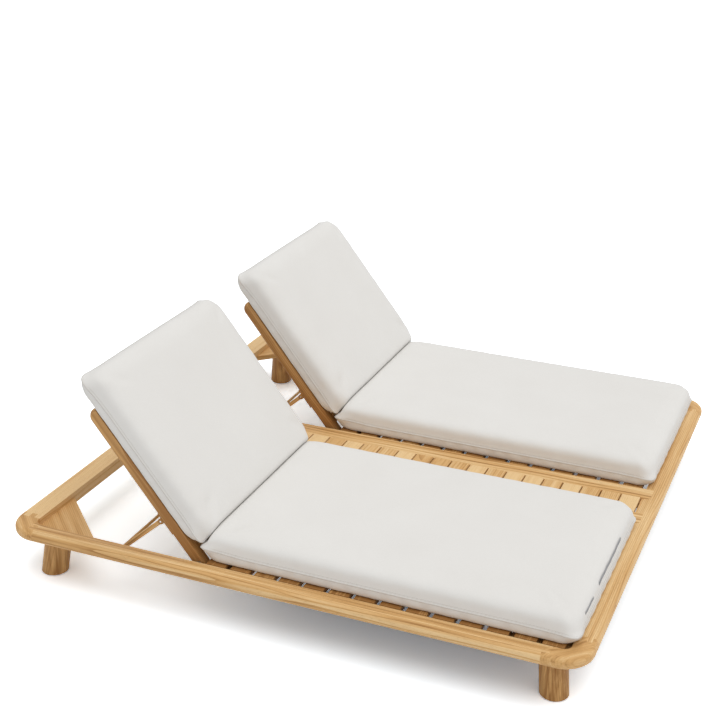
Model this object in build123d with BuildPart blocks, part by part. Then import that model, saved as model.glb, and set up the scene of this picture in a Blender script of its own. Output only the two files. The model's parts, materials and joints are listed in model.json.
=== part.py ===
from build123d import *
from math import atan2, cos, degrees, hypot, radians, sin
import os

os.makedirs("parts", exist_ok=True)

# Double chaise lounger: two loungers side by side in one timber frame, with a slatted table strip
# between them, two backrests that fold on props, and four box cushions.
# Axes: +X to the foot, +Y to the left of a person who lies in it, +Z up from the floor.

# Frame ring, over all
overall_length = 2000
overall_width = 2050
rail_top = 204
rail_depth = 45
head_rail_width = 85.5
foot_rail_width = 68
side_rail_width = 60
corner_round = 100
inner_round = 25
outer_edge_round = 20
scoop_width = 30
scoop_drop = 5

# Finger joints between the rails and the rounded corner blocks
head_corner_length = 112
foot_corner_length = 142
finger_length = 24
finger_shares = (0.125, 0.625)
finger_width_share = 0.25

# Corner gussets and splayed legs
gusset_reach = 240
leg_diameter = 90.6
leg_inset_x = 134
leg_inset_y = 132
leg_splay = 18
leg_foot_chamfer = 3

# Table strip between the two loungers
table_rail_width = 73.8
table_rail_round = 3
table_opening = 113.6
table_slat_width = 65.15
table_slat_gap = 5.5
table_slat_thickness = 15
table_slat_chamfer = 1.5
table_ledger_width = 18
table_ledger_depth = 20

# Seat slats, the ledgers that carry them and the hinge rail under the first gap
seat_slat_width = 68
seat_slat_gap = 17.56
seat_slat_thickness = 20
seat_slat_drop = 4
seat_slat_end_gap = 2
seat_slat_round = 2
seat_ledger_width = 18
seat_ledger_depth = 20
hinge_rail_width = 50
hinge_rail_depth = 24

# Backrests, drawn in the raised position of the photograph
backrest_angle = 51
backrest_room = 618.66
hinge_behind_slats = 30
hinge_height = 178
backrest_reach = 610
backrest_depth = 44
backrest_side_gap = 15
backrest_rail_width = 34
backrest_top_rail_height = 62
backrest_top_round = 30
backrest_edge_round = 14
backrest_bottom_rail_start = 26
backrest_bottom_rail_height = 42
backrest_bottom_rail_depth = 28
backrest_slat_count = 5
backrest_slat_width = 68
backrest_slat_thickness = 14
backrest_slat_recess = 2

# Hinge pins, with the collar that fills the gap between frame and backrest
hinge_pin_diameter = 10
hinge_pin_grip = 22
hinge_collar_diameter = 30
fit_clearance = 0.3

# Props: two legs and a foot bar that hang from a bracket behind each backrest
prop_pivot_reach = 186.4
prop_pivot_depth = 17.5
prop_leg_length = 222
prop_leg_angle = 41.8
prop_leg_width = 15
prop_leg_thickness = 11
prop_leg_eye_diameter = 19
prop_bar_diameter = 11
prop_pin_diameter = 6
bracket_plate_length = 84
bracket_plate_overhang = 27
bracket_plate_thickness = 8
bracket_lug_diameter = 20
bracket_lug_thickness = 4

# Notched racks that the foot bar rests on
rack_web_thickness = 10
rack_ledge_thickness = 22
rack_floor_thickness = 6
rack_margin = 16
rack_notch_depth = 4
backrest_stops = (0, -11, -22, -33)
backrest_highest = 1
backrest_lowest = -47
path_steps = 16
prop_ratio_share = 0.86

# Cushions
seat_cushion_overhang = 13
seat_cushion_back_overhang = 23
seat_cushion_side_gap = 11.5
back_cushion_start = 66
back_cushion_reach = 716
back_cushion_side_gap = 17
cushion_thickness = 100
cushion_corner_round = 55
cushion_rest_gap = 0.3
cushion_height_shares = (0, 0.12, 0.36, 0.58, 0.76, 0.89, 0.97, 1)
cushion_inset_shares = (0.16, 0.04, 0, 0.03, 0.12, 0.32, 0.72, 1.4)

# Every cut runs past the faces it goes through by this much
overrun = 5

# Places worked out from the sizes above
rail_bottom = rail_top - rail_depth
head_end = -overall_length / 2
foot_end = overall_length / 2
side_edge = overall_width / 2
head_inner = head_end + head_rail_width
foot_inner = foot_end - foot_rail_width
side_inner = side_edge - side_rail_width
table_inner = table_opening / 2
table_outer = table_inner + table_rail_width
lounger_width = side_inner - table_outer
lounger_center = (side_inner + table_outer) / 2
seat_slat_top = rail_top - seat_slat_drop
ledger_top = seat_slat_top - seat_slat_thickness
hinge_x = head_inner + backrest_room
seat_slat_start = hinge_x + hinge_behind_slats
seat_slat_pitch = seat_slat_width + seat_slat_gap
seat_slat_count = int((foot_inner - seat_slat_start + seat_slat_gap / 2) / seat_slat_pitch)
table_slat_pitch = table_slat_width + table_slat_gap
table_slat_count = int((foot_inner - head_inner) / table_slat_pitch)
lean = radians(backrest_angle)
up_back = Vector(-cos(lean), 0, sin(lean))
front_face = backrest_depth / 2
rear_face = -backrest_depth / 2
sides = (("left", 1), ("right", -1))


def backrest_plane(y=0):
    """Side view of a backrest: local X climbs from the hinge, local Y points to the front."""
    return Plane(origin=(hinge_x, y, hinge_height), x_dir=up_back, z_dir=(0, 1, 0))


def backrest_point(along, out):
    """Place, in the side view of the whole object, of a point drawn on a backrest."""
    place = backrest_plane().from_local_coords(Vector(along, out, 0))
    return place.X, place.Z


def span(side, first, last):
    """Lower end and length of a stretch across the object, mirrored to the right side."""
    low = min(side * first, side * last)
    return low, abs(last - first)


def finish(builder, label):
    """Name a finished piece and write it."""
    builder.part.label = label
    export_step(builder.part, f"parts/{label}.step")


# Frame ring
# One rounded ring with a bullnosed outer edge and a scoop along the seat side,
# divided afterwards into rails and corner blocks.
with BuildPart() as ring:
    with BuildSketch(Plane.XY.offset(rail_bottom)):
        RectangleRounded(overall_length, overall_width, corner_round)
    extrude(amount=rail_depth)
    outer_edges = ring.faces().sort_by(Axis.Z)[0].edges() + ring.faces().sort_by(Axis.Z)[-1].edges()
    fillet(outer_edges, outer_edge_round)
    with BuildSketch(Plane.XY.offset(rail_bottom - overrun)):
        with Locations(((head_inner + foot_inner) / 2, 0)):
            RectangleRounded(foot_inner - head_inner, 2 * side_inner, inner_round)
    extrude(amount=rail_depth + 2 * overrun, mode=Mode.SUBTRACT)
    with BuildSketch(Plane.XY.offset(rail_top - scoop_drop)):
        with Locations(((head_inner + scoop_width + foot_inner) / 2, 0)):
            RectangleRounded(foot_inner - head_inner - scoop_width, 2 * side_inner, inner_round)
    with BuildSketch(Plane.XY.offset(rail_top)):
        with Locations(((head_inner + foot_inner + scoop_width) / 2, 0)):
            RectangleRounded(
                foot_inner + scoop_width - head_inner,
                2 * (side_inner + scoop_width),
                inner_round + scoop_width,
            )
    loft(ruled=True, mode=Mode.SUBTRACT)


def side_region(side):
    """Ground that a side rail covers, with fingers at both ends."""
    start = head_end + head_corner_length
    stop = foot_end - foot_corner_length
    finger = side_rail_width * finger_width_share
    with BuildPart() as region:
        with BuildSketch(Plane.XY.offset(rail_bottom)):
            with Locations(((start + stop) / 2, side * (side_inner + side_edge) / 2)):
                Rectangle(stop - start, side_rail_width)
            for share in finger_shares:
                y = side * (side_inner + side_rail_width * share)
                with Locations(((start + stop) / 2, y)):
                    Rectangle(stop - start + 2 * finger_length, finger)
        extrude(amount=rail_depth)
    return region.part


def end_region(inner, outer, corner_length):
    """Ground that the head or foot rail covers, with fingers at both ends."""
    length = 2 * (side_edge - corner_length)
    width = abs(outer - inner)
    finger = width * finger_width_share
    toward = 1 if outer > inner else -1
    with BuildPart() as region:
        with BuildSketch(Plane.XY.offset(rail_bottom)):
            with Locations(((inner + outer) / 2, 0)):
                Rectangle(width, length)
            for share in finger_shares:
                with Locations((inner + toward * width * share, 0)):
                    Rectangle(finger, length + 2 * finger_length)
        extrude(amount=rail_depth)
    return region.part


head_region = end_region(head_inner, head_end, head_corner_length)
foot_region = end_region(foot_inner, foot_end, foot_corner_length)
side_regions = {name: side_region(side) for name, side in sides}

# Head rail
with BuildPart() as head_rail:
    add(ring.part)
    add(head_region, mode=Mode.INTERSECT)
finish(head_rail, "head_rail")

# Foot rail
with BuildPart() as foot_rail:
    add(ring.part)
    add(foot_region, mode=Mode.INTERSECT)
finish(foot_rail, "foot_rail")

# Side rails, bored for the hinge pins
for name, side in sides:
    with BuildPart() as side_rail:
        add(ring.part)
        add(side_regions[name], mode=Mode.INTERSECT)
        with BuildSketch(Plane(origin=(hinge_x, side * (side_inner - overrun), hinge_height), z_dir=(0, side, 0))):
            Circle(hinge_pin_diameter / 2)
        extrude(amount=hinge_pin_grip + overrun, mode=Mode.SUBTRACT)
    finish(side_rail, f"side_rail_{name}")

# Corner blocks
for end_name, end_sign, length, end_part in (
    ("head", -1, head_corner_length, head_region),
    ("foot", 1, foot_corner_length, foot_region),
):
    for name, side in sides:
        reach = length + finger_length
        with BuildPart() as corner_block:
            with BuildSketch(Plane.XY.offset(rail_bottom)):
                with Locations((end_sign * (foot_end - reach / 2), side * (side_edge - reach / 2))):
                    Rectangle(reach, reach)
            extrude(amount=rail_depth)
            add(ring.part, mode=Mode.INTERSECT)
            add(end_part, mode=Mode.SUBTRACT)
            add(side_regions[name], mode=Mode.SUBTRACT)
        finish(corner_block, f"corner_block_{end_name}_{name}")

# Corner gussets
# Triangular plates inside the corners, from the underside of the rails up to the ledgers.
gussets = {}
for end_name, end_sign, inner in (("head", -1, head_inner), ("foot", 1, foot_inner)):
    for name, side in sides:
        with BuildPart() as gusset:
            with BuildSketch(Plane.XY.offset(rail_bottom)) as outline:
                with BuildLine():
                    Polyline(
                        (inner, side * side_inner),
                        (inner - end_sign * gusset_reach, side * side_inner),
                        (inner, side * (side_inner - gusset_reach)),
                        close=True,
                    )
                make_face()
                corner = outline.vertices().sort_by_distance((inner, side * side_inner))[0]
                fillet(corner, inner_round)
            extrude(amount=ledger_top - rail_bottom)
        gussets[end_name, name] = gusset.part
        finish(gusset, f"corner_gusset_{end_name}_{name}")

# Legs
# Round posts that splay outward both ways, cut level at both ends, with an eased lower edge.
for end_name, end_sign in (("head", -1), ("foot", 1)):
    for name, side in sides:
        foot = Vector(
            end_sign * (foot_end - leg_inset_x + leg_splay),
            side * (side_edge - leg_inset_y + leg_splay),
            0,
        )
        climb = Vector(-end_sign * leg_splay, -side * leg_splay, rail_bottom)
        with BuildPart() as leg:
            with BuildSketch(Plane(origin=foot, z_dir=climb)):
                Circle(leg_diameter / 2)
            extrude(amount=climb.length + leg_diameter / 2, both=True)
            with BuildSketch(Plane.XY):
                with Locations((foot.X, foot.Y)):
                    Rectangle(2 * leg_diameter, 2 * leg_diameter)
            extrude(amount=rail_bottom, mode=Mode.INTERSECT)
            chamfer(leg.faces().sort_by(Axis.Z)[0].edges(), leg_foot_chamfer)
        finish(leg, f"leg_{end_name}_{name}")

# Table rails
# They run the whole length and fill the scoop where they meet the foot rail.
for name, side in sides:
    with BuildPart() as table_rail:
        with BuildSketch(Plane.YZ.offset(head_inner)) as section:
            with Locations((side * (table_inner + table_outer) / 2, rail_bottom + rail_depth / 2)):
                Rectangle(table_rail_width, rail_depth)
            fillet(section.vertices().group_by(Axis.Y)[-1], table_rail_round)
        extrude(amount=foot_inner + scoop_width - head_inner)
        add(ring.part, mode=Mode.SUBTRACT)
        with BuildSketch(Plane(origin=(hinge_x, side * (table_outer + overrun), hinge_height), z_dir=(0, -side, 0))):
            Circle(hinge_pin_diameter / 2)
        extrude(amount=hinge_pin_grip + overrun, mode=Mode.SUBTRACT)
    finish(table_rail, f"table_rail_{name}")

# Table slats, laid crosswise between the table rails
table_slat_start = foot_inner - table_slat_count * table_slat_pitch
with BuildPart() as table_slats:
    with BuildSketch(Plane.XY.offset(rail_top - table_slat_thickness)):
        for number in range(table_slat_count):
            with Locations((table_slat_start + table_slat_width / 2 + number * table_slat_pitch, 0)):
                Rectangle(table_slat_width, table_opening)
    extrude(amount=table_slat_thickness)
    upper_edges = table_slats.edges().filter_by(Axis.Y).group_by(Axis.Z)[-1]
    chamfer(upper_edges, table_slat_chamfer)
finish(table_slats, "table_slats")

# Table ledgers, the strips under the ends of the table slats
for name, side in sides:
    with BuildPart() as table_ledger:
        with BuildSketch(Plane.YZ.offset(head_inner)):
            with Locations(
                (
                    side * (table_inner - table_ledger_width / 2),
                    rail_top - table_slat_thickness - table_ledger_depth / 2,
                )
            ):
                Rectangle(table_ledger_width, table_ledger_depth)
        extrude(amount=foot_inner - head_inner)
    finish(table_ledger, f"table_ledger_{name}")

# Seat slats
for name, side in sides:
    with BuildPart() as seat_slats:
        with BuildSketch(Plane.XY.offset(seat_slat_top - seat_slat_thickness)):
            for number in range(seat_slat_count):
                x = seat_slat_start + seat_slat_width / 2 + number * seat_slat_pitch
                with Locations((x, side * lounger_center)):
                    Rectangle(seat_slat_width, lounger_width - 2 * seat_slat_end_gap)
        extrude(amount=seat_slat_thickness)
        upper_edges = seat_slats.edges().filter_by(Axis.Y).group_by(Axis.Z)[-1]
        chamfer(upper_edges, seat_slat_round)
    finish(seat_slats, f"seat_slats_{name}")

# Seat ledgers, along the side rail and along the table rail
# The outer one stops at the gusset, whose top carries the last slats.
for place, wall, inward in (("outer", side_inner, -1), ("inner", table_outer, 1)):
    for name, side in sides:
        with BuildPart() as seat_ledger:
            with BuildSketch(Plane.YZ.offset(seat_slat_start)):
                with Locations(
                    (side * (wall + inward * seat_ledger_width / 2), ledger_top - seat_ledger_depth / 2)
                ):
                    Rectangle(seat_ledger_width, seat_ledger_depth)
            reach = gusset_reach / 2 if place == "outer" else 0
            extrude(amount=foot_inner - reach - seat_slat_start)
            if place == "outer":
                add(gussets["foot", name], mode=Mode.SUBTRACT)
        finish(seat_ledger, f"seat_ledger_{place}_{name}")

# Hinge rails
# The cross rail under the first gap ties the side rail to the table rail behind the seat.
first_gap = seat_slat_start + seat_slat_width + seat_slat_gap / 2
for name, side in sides:
    low, length = span(side, table_outer + seat_ledger_width, side_inner - seat_ledger_width)
    with BuildPart() as hinge_rail:
        with BuildSketch(Plane(origin=(first_gap, low, ledger_top), x_dir=(1, 0, 0), z_dir=(0, 1, 0))):
            with Locations((0, hinge_rail_depth / 2)):
                Rectangle(hinge_rail_width, hinge_rail_depth)
        extrude(amount=length)
    finish(hinge_rail, f"hinge_rail_{name}")

# Hinge pins
# Each pin sits in the frame, and its collar keeps the backrest off the rail.
for name, side in sides:
    with BuildPart() as hinge_pins:
        for wall, inward in ((side_inner, -1), (table_outer, 1)):
            reach = side * inward
            start = side * wall - reach * hinge_pin_grip
            with BuildSketch(Plane(origin=(hinge_x, start, hinge_height), z_dir=(0, reach, 0))):
                Circle(hinge_pin_diameter / 2)
            extrude(amount=hinge_pin_grip + backrest_side_gap + hinge_pin_grip)
            with BuildSketch(Plane(origin=(hinge_x, side * wall, hinge_height), z_dir=(0, reach, 0))):
                Circle(hinge_collar_diameter / 2)
            extrude(amount=backrest_side_gap - fit_clearance)
    finish(hinge_pins, f"hinge_pins_{name}")

# Prop and rack geometry
# The prop turns prop_ratio_share as fast as the backrest, so its foot bar keeps nearly level.
pivot_out = rear_face - prop_pivot_depth
pivot_radius = hypot(prop_pivot_reach, pivot_out)
pivot_lead = degrees(atan2(-pivot_out, prop_pivot_reach))


def foot_bar_place(turn):
    """Centre of the foot bar when the backrest has turned from the photographed position."""
    climb = radians(180 - backrest_angle - turn + pivot_lead)
    drop = radians(180 + prop_leg_angle + prop_ratio_share * turn)
    x = hinge_x + pivot_radius * cos(climb) + prop_leg_length * cos(drop)
    z = hinge_height + pivot_radius * sin(climb) + prop_leg_length * sin(drop)
    return x, z


bar_x, bar_z = foot_bar_place(0)
pivot_x, pivot_z = backrest_point(prop_pivot_reach, pivot_out)

# Racks
# A web on the face of the rail and a notched ledge below it.
# The ledge follows the path of the foot bar, with a notch at each stop,
# and steps down behind the last one to a shelf for the folded prop.
crest = prop_bar_diameter / 2 + fit_clearance
travel = backrest_stops[-1] - backrest_highest
path = [foot_bar_place(backrest_highest + travel * step / path_steps) for step in range(path_steps + 1)]
shelf_x, shelf_z = foot_bar_place(backrest_lowest)
rack_bottom = min(z for x, z in path) - crest - rack_notch_depth - rack_floor_thickness
rack_front = path[0][0] + rack_margin
rack_back = shelf_x - rack_margin
for place, wall, inward in (("outer", side_inner, -1), ("inner", table_outer, 1)):
    for name, side in sides:
        reach = side * inward
        with BuildPart() as rack:
            web_plane = Plane(origin=(0, side * wall, 0), x_dir=(-reach, 0, 0), z_dir=(0, reach, 0))
            with BuildSketch(web_plane):
                with Locations((-reach * (rack_front + rack_back) / 2, (rack_bottom + ledger_top) / 2)):
                    Rectangle(rack_front - rack_back, ledger_top - rack_bottom)
            extrude(amount=rack_web_thickness)
            with BuildSketch(web_plane):
                with BuildLine():
                    Polyline(
                        *[(-reach * x, z - crest) for x, z in path],
                        (-reach * (path[-1][0] + shelf_x) / 2, shelf_z - crest),
                        (-reach * rack_back, shelf_z - crest),
                        (-reach * rack_back, rack_bottom),
                        (-reach * rack_front, rack_bottom),
                        (-reach * rack_front, path[0][1] - crest),
                        close=True,
                    )
                make_face()
            extrude(amount=rack_ledge_thickness)
            with BuildSketch(web_plane.offset(rack_web_thickness)):
                for turn in backrest_stops:
                    x, z = foot_bar_place(turn)
                    with Locations((-reach * x, z - crest - rack_notch_depth + prop_bar_diameter / 2)):
                        Circle(prop_bar_diameter / 2)
            extrude(amount=rack_ledge_thickness, mode=Mode.SUBTRACT)
            if place == "outer":
                add(gussets["head", name], mode=Mode.SUBTRACT)
        finish(rack, f"rack_{place}_{name}")

# Backrest frames
outer_wall = side_inner - backrest_side_gap
inner_wall = table_outer + backrest_side_gap
for name, side in sides:
    for place, wall, inward in (("outer", outer_wall, -1), ("inner", inner_wall, 1)):
        low, width = span(side, wall, wall + inward * backrest_rail_width)
        with BuildPart() as side_member:
            with BuildSketch(backrest_plane(low)) as outline:
                Rectangle(backrest_reach, backrest_depth, align=(Align.MIN, Align.CENTER))
                rear_top = outline.vertices().sort_by_distance((backrest_reach, rear_face))[0]
                fillet(rear_top, backrest_top_round)
            extrude(amount=width)
            outer_side = side_member.faces().sort_by(Axis.Y)[-1 if side * inward < 0 else 0]
            middle = backrest_plane(wall).from_local_coords(Vector(backrest_reach / 2, rear_face, 0))
            fillet(outer_side.edges().sort_by_distance(middle)[0], backrest_edge_round)
            with BuildSketch(backrest_plane(low)):
                Circle(backrest_depth / 2)
            extrude(amount=width)
            with BuildSketch(backrest_plane(low - overrun)):
                Circle(hinge_pin_diameter / 2 + fit_clearance)
            extrude(amount=width + 2 * overrun, mode=Mode.SUBTRACT)
        finish(side_member, f"backrest_rail_{place}_{name}")

    low, width = span(side, outer_wall - backrest_rail_width, inner_wall + backrest_rail_width)
    with BuildPart() as top_rail:
        with BuildSketch(backrest_plane(low)) as outline:
            with Locations((backrest_reach - backrest_top_rail_height / 2, 0)):
                Rectangle(backrest_top_rail_height, backrest_depth)
            rear_top = outline.vertices().sort_by_distance((backrest_reach, rear_face))[0]
            fillet(rear_top, backrest_top_round)
        extrude(amount=width)
    finish(top_rail, f"backrest_top_rail_{name}")

    with BuildPart() as bottom_rail:
        with BuildSketch(backrest_plane(low)) as outline:
            with Locations((backrest_bottom_rail_start + backrest_bottom_rail_height / 2, 0)):
                Rectangle(backrest_bottom_rail_height, backrest_bottom_rail_depth)
            fillet(outline.vertices(), table_rail_round)
        extrude(amount=width)
    finish(bottom_rail, f"backrest_bottom_rail_{name}")

    slats_from = backrest_bottom_rail_start + backrest_bottom_rail_height
    slats_room = backrest_reach - backrest_top_rail_height - slats_from
    slat_gap = (slats_room - backrest_slat_count * backrest_slat_width) / (backrest_slat_count + 1)
    with BuildPart() as backrest_slats:
        with BuildSketch(backrest_plane(low)):
            for number in range(backrest_slat_count):
                along = slats_from + slat_gap + number * (slat_gap + backrest_slat_width)
                with Locations(
                    (
                        along + backrest_slat_width / 2,
                        front_face - backrest_slat_recess - backrest_slat_thickness / 2,
                    )
                ):
                    Rectangle(backrest_slat_width, backrest_slat_thickness)
        extrude(amount=width)
        chamfer(backrest_slats.edges().filter_by(Axis.Y), table_slat_chamfer)
    finish(backrest_slats, f"backrest_slats_{name}")


def bracket_span(side, wall, inward):
    """Lower end and width of the flat behind a backrest rail."""
    return span(side, wall + inward * backrest_edge_round, wall + inward * backrest_rail_width)


# Prop brackets
# A plate behind each backrest side rail, with two lugs that hold the prop leg between them.
# It lies on the flat of the rail, inside the rounded edge.
lug_gap = prop_leg_thickness + 2 * fit_clearance
for name, side in sides:
    with BuildPart() as brackets:
        for wall, inward in ((outer_wall, -1), (inner_wall, 1)):
            low, width = bracket_span(side, wall, inward)
            middle = low + width / 2
            plate_start = prop_pivot_reach + bracket_plate_overhang - bracket_plate_length
            with BuildSketch(backrest_plane(low)):
                with Locations((plate_start, rear_face)):
                    Rectangle(bracket_plate_length, bracket_plate_thickness, align=(Align.MIN, Align.MAX))
            extrude(amount=width)
            for toward in (-1, 1):
                near = middle + toward * lug_gap / 2
                lug_low = min(near, near + toward * bracket_lug_thickness)
                with BuildSketch(backrest_plane(lug_low)):
                    with Locations((prop_pivot_reach, pivot_out)):
                        Circle(bracket_lug_diameter / 2)
                    with Locations((prop_pivot_reach, rear_face)):
                        Rectangle(bracket_lug_diameter, prop_pivot_depth, align=(Align.CENTER, Align.MAX))
                extrude(amount=bracket_lug_thickness)
            with BuildSketch(backrest_plane(low)):
                with Locations((prop_pivot_reach, pivot_out)):
                    Circle(prop_pin_diameter / 2)
            extrude(amount=width, mode=Mode.SUBTRACT)
    finish(brackets, f"prop_brackets_{name}")

# Prop pins
for name, side in sides:
    with BuildPart() as prop_pins:
        for wall, inward in ((outer_wall, -1), (inner_wall, 1)):
            low, width = bracket_span(side, wall, inward)
            pin_length = lug_gap + 2 * bracket_lug_thickness
            with BuildSketch(backrest_plane(low + (width - pin_length) / 2)):
                with Locations((prop_pivot_reach, pivot_out)):
                    Circle(prop_pin_diameter / 2)
            extrude(amount=pin_length)
    finish(prop_pins, f"prop_pins_{name}")

# Prop legs
leg_turn = 180 + prop_leg_angle
for name, side in sides:
    for place, wall, inward in (("outer", outer_wall, -1), ("inner", inner_wall, 1)):
        low, width = bracket_span(side, wall, inward)
        middle = low + width / 2
        leg_plane = Plane(
            origin=(pivot_x, middle - prop_leg_thickness / 2, pivot_z),
            x_dir=(cos(radians(leg_turn)), 0, sin(radians(leg_turn))),
            z_dir=(0, 1, 0),
        )
        with BuildPart() as prop_leg:
            with BuildSketch(leg_plane):
                Rectangle(prop_leg_length, prop_leg_width, align=(Align.MIN, Align.CENTER))
                Circle(prop_leg_width / 2)
                with Locations((prop_leg_length, 0)):
                    Circle(prop_leg_eye_diameter / 2)
                Circle(prop_pin_diameter / 2 + fit_clearance, mode=Mode.SUBTRACT)
                with Locations((prop_leg_length, 0)):
                    Circle(prop_bar_diameter / 2, mode=Mode.SUBTRACT)
            extrude(amount=prop_leg_thickness)
        finish(prop_leg, f"prop_leg_{place}_{name}")

# Prop foot bars, reaching over the ledges of both racks
bar_end_gap = rack_web_thickness + fit_clearance
for name, side in sides:
    low, length = span(side, side_inner - bar_end_gap, table_outer + bar_end_gap)
    with BuildPart() as foot_bar:
        with BuildSketch(Plane(origin=(bar_x, low, bar_z), z_dir=(0, 1, 0))):
            Circle(prop_bar_diameter / 2)
        extrude(amount=length)
    finish(foot_bar, f"prop_foot_bar_{name}")


def cushion(plane, length, width):
    """Box cushion on its plane: sides drawn in below and above the seam, and a crowned top."""
    with BuildPart() as body:
        for height_share, inset_share in zip(cushion_height_shares, cushion_inset_shares):
            inset = cushion_thickness * inset_share
            with BuildSketch(plane.offset(cushion_thickness * height_share)):
                RectangleRounded(length - 2 * inset, width - 2 * inset, cushion_corner_round)
        loft(ruled=True)
    return body


# Seat cushions
for name, side in sides:
    back = seat_slat_start - seat_cushion_back_overhang
    front = foot_inner + seat_cushion_overhang
    plane = Plane(origin=((back + front) / 2, side * lounger_center, seat_slat_top + cushion_rest_gap))
    seat_cushion = cushion(plane, front - back, lounger_width - 2 * seat_cushion_side_gap)
    finish(seat_cushion, f"seat_cushion_{name}")

# Back cushions
for name, side in sides:
    x, z = backrest_point((back_cushion_start + back_cushion_reach) / 2, front_face + cushion_rest_gap)
    plane = Plane(origin=(x, side * lounger_center, z), x_dir=up_back, z_dir=(sin(lean), 0, cos(lean)))
    back_cushion = cushion(
        plane,
        back_cushion_reach - back_cushion_start,
        lounger_width - 2 * back_cushion_side_gap,
    )
    finish(back_cushion, f"back_cushion_{name}")
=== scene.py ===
# %% [markdown]
# # A double chaise lounger, dressed for its picture
#
# The lounger is one timber frame with two slatted seats, a slatted table strip between them, two
# backrests on props and four thick box cushions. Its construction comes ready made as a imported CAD
# model. This lesson gives that model its looks: oiled teak with real grain directions, boards with
# eased edges, and cushions that are sewn and stuffed rather than boxed.
#
# Its pieces never move. Everything made here is fitted to them.

import json
import math

import bpy
import numpy as np
from mathutils import Matrix, Vector
from mathutils.bvhtree import BVHTree


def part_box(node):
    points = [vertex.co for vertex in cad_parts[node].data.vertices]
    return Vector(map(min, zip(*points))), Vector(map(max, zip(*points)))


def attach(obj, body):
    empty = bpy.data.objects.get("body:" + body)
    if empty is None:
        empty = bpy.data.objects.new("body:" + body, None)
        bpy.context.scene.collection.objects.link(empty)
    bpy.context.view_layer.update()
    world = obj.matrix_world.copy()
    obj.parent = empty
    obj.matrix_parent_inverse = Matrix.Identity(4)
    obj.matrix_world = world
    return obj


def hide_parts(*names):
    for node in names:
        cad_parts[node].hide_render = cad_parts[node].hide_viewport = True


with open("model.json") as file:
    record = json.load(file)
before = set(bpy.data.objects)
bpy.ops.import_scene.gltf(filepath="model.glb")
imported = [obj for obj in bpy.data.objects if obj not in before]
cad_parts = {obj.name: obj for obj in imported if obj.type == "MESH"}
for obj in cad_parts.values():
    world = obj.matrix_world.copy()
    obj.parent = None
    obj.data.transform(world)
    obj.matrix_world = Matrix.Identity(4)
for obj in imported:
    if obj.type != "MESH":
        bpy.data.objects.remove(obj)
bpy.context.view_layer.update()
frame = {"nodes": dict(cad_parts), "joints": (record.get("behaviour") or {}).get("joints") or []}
scene = bpy.context.scene

# %% [markdown]
# ## The numbers that drive the looks
#
# Places are read from the frame wherever they can be: a hinge from its joint, a rail from its box.
# What the frame can't say, such as how far a seam lies above a cushion's underside, is a named
# value. All lengths are metres. `SIDES` gives each lounger's side the sign of its Y coordinates.

# %% Driving sizes
BACKREST_ANGLE = math.radians(51)
BACKREST_HALF_DEPTH = 0.022
REST_GAP = 0.0003
CUSHION_START = 0.066
CUSHION_REACH = 0.716

SIDES = {"left": 1, "right": -1}
HINGES = {
    side: Vector(joint["pos_m"])
    for joint in frame["joints"]
    for side in SIDES
    if joint["name"] == f"backrest_tilt_{side}"
}
UP_BACK = Vector((-math.cos(BACKREST_ANGLE), 0, math.sin(BACKREST_ANGLE)))
FRONT = Vector((math.sin(BACKREST_ANGLE), 0, math.cos(BACKREST_ANGLE)))
print("hinges at", {side: tuple(round(v, 4) for v in place) for side, place in HINGES.items()})

# %% [markdown]
# ## Wires: shader maths as plain expressions
#
# A material is a network of nodes. Written node by node, its maths is hard to read. Here a small
# class wraps one output socket, so that `1 - mask * 0.5` adds the Math nodes by itself. Every
# other node comes from one method, `node`, which sets the node's options first and its sockets
# second.

# %% A socket that can be added and multiplied
def both_ways(operation):
    """An operator's method and its reflected form, which Python calls for `1 - wire`."""
    return (
        lambda wire, other: wire.combine(operation, wire, other),
        lambda wire, other: wire.combine(operation, other, wire),
    )


class Wire:
    """One output socket that Python's operators work on."""

    def __init__(self, network, socket):
        self.network = network
        self.socket = socket

    def combine(self, operation, *values):
        options = {"operation": operation}
        return self.network.node("ShaderNodeMath", options, dict(enumerate(values)))

    __add__, __radd__ = both_ways("ADD")
    __sub__, __rsub__ = both_ways("SUBTRACT")
    __mul__, __rmul__ = both_ways("MULTIPLY")
    __truediv__, __rtruediv__ = both_ways("DIVIDE")
    __pow__, __rpow__ = both_ways("POWER")

    def sine(self):
        return self.combine("SINE", self)

    def part(self):
        return self.combine("FRACT", self)

    def root(self):
        return self.combine("SQRT", self)


print("sockets can be reckoned with")

# %% [markdown]
# `Network` adds nodes to any shader tree, the world's too. `Paint` is the network of a new
# material, with the noises, mixes and ramps that the finishes further down need.

# %% A material under construction
class Network:
    """A shader tree and a way to add nodes to it."""

    def __init__(self, tree):
        self.tree = tree

    def put(self, socket, value):
        """Feed a socket with a wire, or set its value."""
        if isinstance(value, Wire):
            self.tree.links.new(value.socket, socket)
        else:
            socket.default_value = value

    def node(self, kind, options=None, values=None, output=0):
        """Add a node: options are its settings, values go to its sockets by name or number."""
        made = self.tree.nodes.new(kind)
        for option, value in (options or {}).items():
            if option == "stops":
                self.set_stops(made.color_ramp, value)
            else:
                setattr(made, option, value)
        for socket, value in (values or {}).items():
            self.put(made.inputs[socket], value)
        return Wire(self, made.outputs[output])

    def set_stops(self, ramp, stops):
        while len(ramp.elements) < len(stops):
            ramp.elements.new(0.5)
        for element, (place, color) in zip(ramp.elements, stops):
            element.position = place
            element.color = (*color, 1)


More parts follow.
